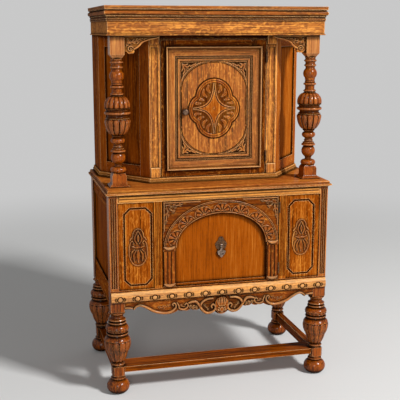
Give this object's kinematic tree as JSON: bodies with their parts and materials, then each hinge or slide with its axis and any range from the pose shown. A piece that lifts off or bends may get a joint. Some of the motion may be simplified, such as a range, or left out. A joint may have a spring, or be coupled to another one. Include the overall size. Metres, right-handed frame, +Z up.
{
  "type": "court cupboard",
  "caption": "Two-stage oak court cupboard: panelled lower case on turned legs, slab, set-back upper case with canted sides, turned columns and cornice; side-hinged doors.",
  "frame": {"origin": "on the floor, at the middle of the width and midway between the outermost points of the front and back leg turnings", "axes": "+X to the right as seen from the front, +Y from the front to the back, +Z up"},
  "size_m": [1.0168, 0.6188, 1.625],
  "materials": {
    "oak_turned": "varnished",
    "oak_case": "varnished",
    "oak_carved": "varnished, antiqued",
    "oak_inside": "thin stain",
    "aged_brass": "antiqued"
  },
  "bodies": {
    "cupboard": {"leg_front_left": "oak_turned", "leg_front_right": "oak_turned", "leg_back_left": "oak_turned", "leg_back_right": "oak_turned", "column_left": "oak_turned", "column_right": "oak_turned", "front_stretcher": "oak_case", "side_stretchers": "oak_case", "slab": "oak_case", "side_rails": "oak_case", "side_panel_left": "oak_case", "side_panel_right": "oak_case", "front_bottom_rail": "oak_case", "front_top_rail": "oak_case", "reeded_stile_left": "oak_case", "reeded_stile_right": "oak_case", "front_panel_left": "oak_case", "front_panel_right": "oak_case", "canted_frame_left": "oak_case", "canted_frame_right": "oak_case", "canted_panel_left": "oak_case", "canted_panel_right": "oak_case", "side_return_left": "oak_case", "side_return_right": "oak_case", "pilaster_left": "oak_case", "pilaster_right": "oak_case", "upper_top_rail": "oak_case", "base_moulding": "oak_case", "frieze_boards": "oak_case", "cornice_moulding": "oak_case", "top_board": "oak_case", "gadroon_strip": "oak_carved", "apron": "oak_carved", "panel_carvings": "oak_carved", "brackets": "oak_carved", "bottom_board": "oak_inside", "lower_back": "oak_inside", "upper_floor": "oak_inside", "upper_back": "oak_inside", "upper_shelf": "oak_inside", "shelf_battens": "oak_inside", "soffit": "oak_inside", "case_hinge_leaves": "aged_brass", "hinge_pins": "aged_brass", "catch_clip": "aged_brass"},
    "upper_door": {"upper_door_frame": "oak_case", "upper_door_panel": "oak_case", "upper_door_moulding": "oak_case", "upper_door_quatrefoil": "oak_carved", "upper_door_hinge_leaves": "aged_brass"},
    "latch_knob": {"knob": "aged_brass", "latch": "aged_brass"},
    "lower_door": {"lower_door_board": "oak_case", "lower_door_arch": "oak_carved", "lower_door_pilasters": "oak_carved", "lower_door_hinge_leaves": "aged_brass", "pull_backplate": "aged_brass", "catch_stud": "aged_brass"},
    "drop_pull": {"drop_pull": "aged_brass"}
  },
  "joints": [
    {"name": "upper_door_hinge", "type": "hinge", "parent": "cupboard", "child": "upper_door", "pos_m": [0.23325, -0.1555, 1.2], "axis": [0, 0, 1], "range_deg": [0, 105]},
    {"name": "latch_turn", "type": "hinge", "parent": "upper_door", "child": "latch_knob", "pos_m": [-0.13, -0.152, 1.188], "axis": [0, 1, 0], "range_deg": [0, 90]},
    {"name": "lower_door_hinge", "type": "hinge", "parent": "cupboard", "child": "lower_door", "pos_m": [0.2575, -0.2845, 0.65], "axis": [0, 0, 1], "range_deg": [0, 110]},
    {"name": "drop_pull_swing", "type": "hinge", "parent": "lower_door", "child": "drop_pull", "pos_m": [0, -0.2762, 0.63], "axis": [-1, 0, 0], "range_deg": [0, 80]}
  ]
}
